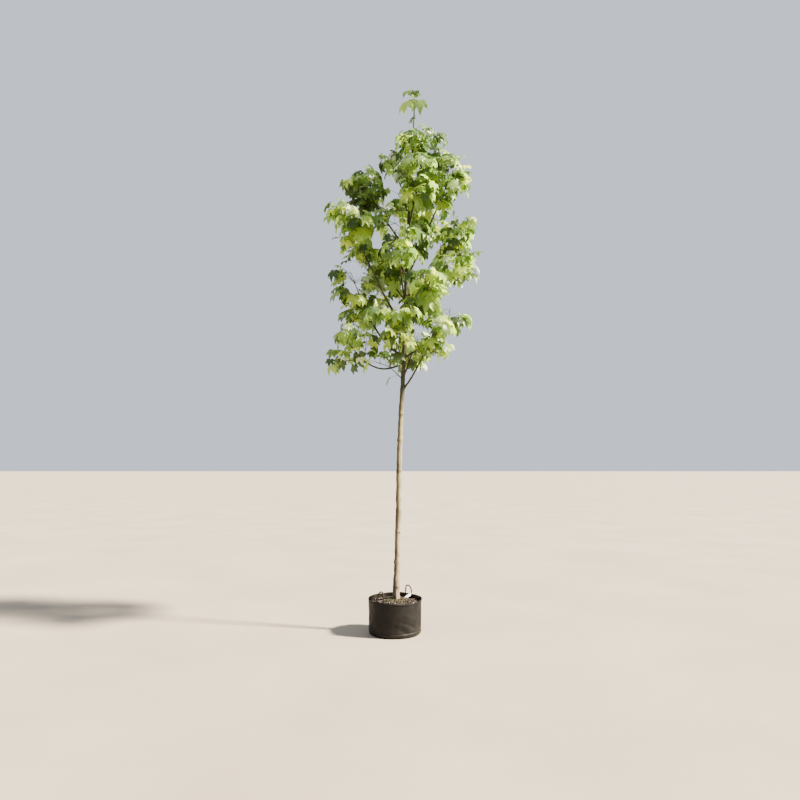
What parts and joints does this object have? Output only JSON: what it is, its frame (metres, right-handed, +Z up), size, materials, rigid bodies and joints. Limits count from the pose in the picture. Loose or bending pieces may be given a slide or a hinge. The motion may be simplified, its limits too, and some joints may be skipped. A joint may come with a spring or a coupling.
{
  "type": "maple sapling in a container bag",
  "caption": "Slim young maple with a clear stem and an open leafy crown, its root ball in a black container bag with two rope handles.",
  "frame": {"origin": "centre of the bag's flat underside", "axes": "+Z up along the trunk, +X to the viewer's right in the picture, -Y towards the viewer"},
  "size_m": [1.4414, 1.2955, 4.966],
  "materials": {
    "bark": "smooth beige-grey bark",
    "young_bark": "smooth brown-green bark",
    "foliage": "fresh green leaves with a soft sheen",
    "bag": "black laminated woven plastic, softly creased",
    "soil": "moist potting soil with bark mulch",
    "rope": "black twisted rope",
    "label": "blank white plastic"
  },
  "bodies": {
    "root": {"bag": "bag", "bough_back_high": "young_bark", "bough_back_left": "young_bark", "bough_back_right": "young_bark", "bough_front_high": "young_bark", "bough_front_mid": "young_bark", "bough_front_right": "young_bark", "bough_left_high": "young_bark", "bough_left_inner": "young_bark", "bough_left_long": "young_bark", "bough_left_rise": "young_bark", "bough_left_top": "young_bark", "bough_low_back": "young_bark", "bough_low_front": "young_bark", "bough_low_left": "young_bark", "bough_low_right": "young_bark", "bough_right_low": "young_bark", "bough_right_mid": "young_bark", "bough_right_tall": "young_bark", "bough_right_top": "young_bark", "bough_right_wide": "young_bark", "foliage_back_high": "foliage", "foliage_back_left": "foliage", "foliage_back_right": "foliage", "foliage_back_top": "foliage", "foliage_front_high": "foliage", "foliage_front_mid": "foliage", "foliage_front_right": "foliage", "foliage_front_top": "foliage", "foliage_inner_back": "foliage", "foliage_inner_front": "foliage", "foliage_inner_high": "foliage", "foliage_inner_low": "foliage", "foliage_leader": "foliage", "foliage_left_high": "foliage", "foliage_left_inner": "foliage", "foliage_left_long": "foliage", "foliage_left_rise": "foliage", "foliage_left_top": "foliage", "foliage_low_back": "foliage", "foliage_low_front": "foliage", "foliage_low_left": "foliage", "foliage_low_right": "foliage", "foliage_right_low": "foliage", "foliage_right_mid": "foliage", "foliage_right_tall": "foliage", "foliage_right_top": "foliage", "foliage_right_wide": "foliage", "handle_back": "rope", "handle_front": "rope", "label": "label", "soil": "soil", "trunk": "bark"}
  },
  "joints": []
}
